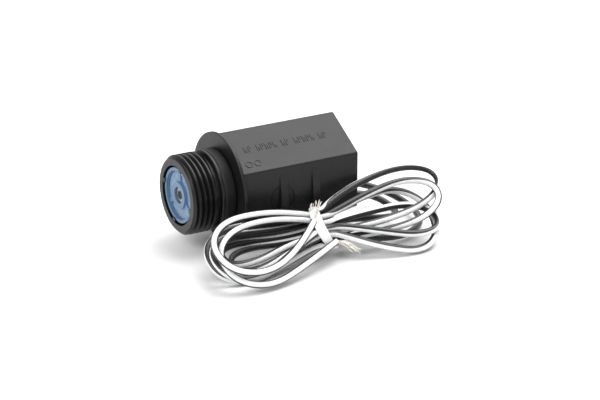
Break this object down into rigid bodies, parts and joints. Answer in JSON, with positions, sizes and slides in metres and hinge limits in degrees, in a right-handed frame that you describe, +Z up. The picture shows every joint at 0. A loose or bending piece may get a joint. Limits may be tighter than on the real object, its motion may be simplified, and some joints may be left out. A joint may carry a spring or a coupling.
{
  "type": "solenoid valve",
  "caption": "Solenoid unit of a water valve: hexagonal coil housing, pipe-threaded nose with filter and sprung plunger, and two leads tied in a hank.",
  "frame": {"origin": "on the floor, under the middle of the housing and nose", "axes": "+X from the threaded nose to the back of the housing, +Z up; the leads lie on the -Y side"},
  "size_m": [0.0951, 0.0642, 0.0372],
  "materials": {
    "housing": "semi-gloss moulded",
    "resin": "glossy cast resin",
    "nose": "moulded",
    "gasket": "matt",
    "filter": "moulded",
    "mesh": "woven wire",
    "magnetic_steel": "turned",
    "seal": "matt",
    "thin_steel": "drawn",
    "spring_steel": "drawn wire",
    "copper": "bare copper",
    "copper_wire": "enamelled wire",
    "tape": "film",
    "bobbin_plastic": "moulded",
    "plated_steel": "zinc plated",
    "tinned_copper": "tinned",
    "lead_cover": "extruded, black with a white stripe",
    "tie": "flat ribbon"
  },
  "bodies": {
    "housing": {"coil_housing": "housing", "potting_fill": "resin", "threaded_nose": "nose", "nose_gasket": "gasket", "filter_disc": "filter", "filter_screen": "mesh", "pole_piece": "magnetic_steel", "tube_oring": "seal", "core_tube": "thin_steel", "tube_retainer": "thin_steel", "plunger_spring": "spring_steel", "spring_washer": "spring_steel", "core_clip": "spring_steel", "shading_ring": "copper", "coil_winding": "copper_wire", "winding_tape": "tape", "bobbin": "bobbin_plastic", "yoke_frame": "plated_steel", "terminal_pins": "tinned_copper", "lead_crimps": "tinned_copper", "strands_a": "tinned_copper", "strands_b": "tinned_copper", "lead_tails": "lead_cover", "lead_a_run": "lead_cover", "lead_b_run": "lead_cover", "lead_hank": "lead_cover", "lead_tie": "tie"},
    "plunger": {"plunger": "magnetic_steel", "plunger_seal": "seal"}
  },
  "joints": [
    {"name": "plunger_slide", "type": "slide", "parent": "housing", "child": "plunger", "axis": [1, 0, 0], "range_m": [0, 0.0018], "stiffness_N_per_m": 300, "springref_m": -0.003, "deforming": ["plunger_spring"]}
  ]
}
